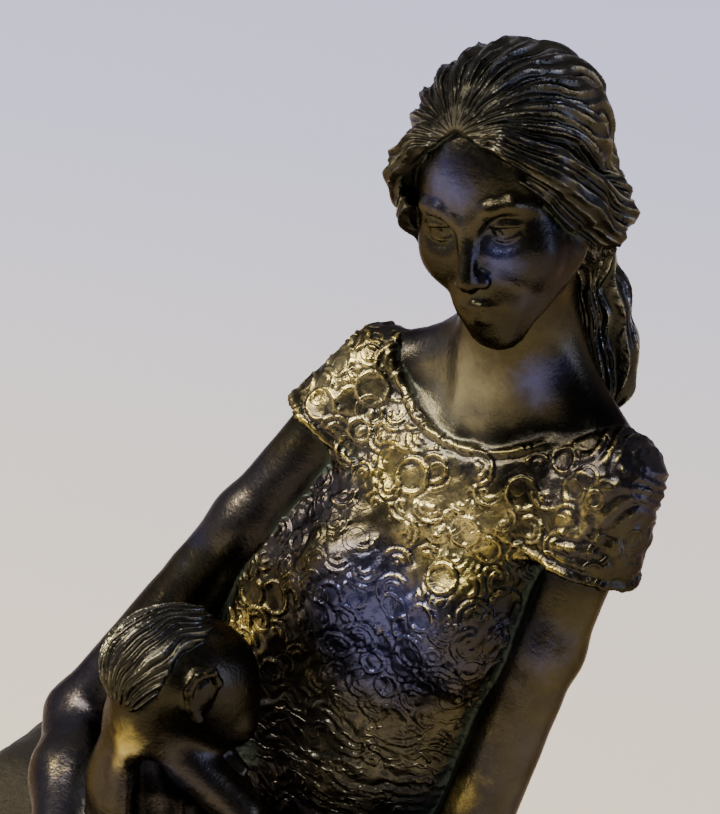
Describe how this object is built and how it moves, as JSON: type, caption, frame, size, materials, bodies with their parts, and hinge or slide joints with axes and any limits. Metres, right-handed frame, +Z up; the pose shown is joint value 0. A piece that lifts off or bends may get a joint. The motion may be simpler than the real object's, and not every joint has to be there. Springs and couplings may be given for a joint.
{
  "type": "mother and child sculpture",
  "caption": "Seated woman with a ponytail and patterned dress holding an infant on her lap, a patinated bronze casting on a rough seat and low base.",
  "frame": {"origin": "on the flat underside of the base, below the woman's pelvis", "axes": "+Z up, -Y the way the woman faces, +X her left"},
  "size_m": [0.152, 0.186, 0.2549],
  "materials": {
    "bronze": "bronze with a dark brown patina, satin, rubbed golden on the high places and green in the hollows"
  },
  "bodies": {
    "root": {"mother_and_child": "bronze"}
  },
  "joints": []
}
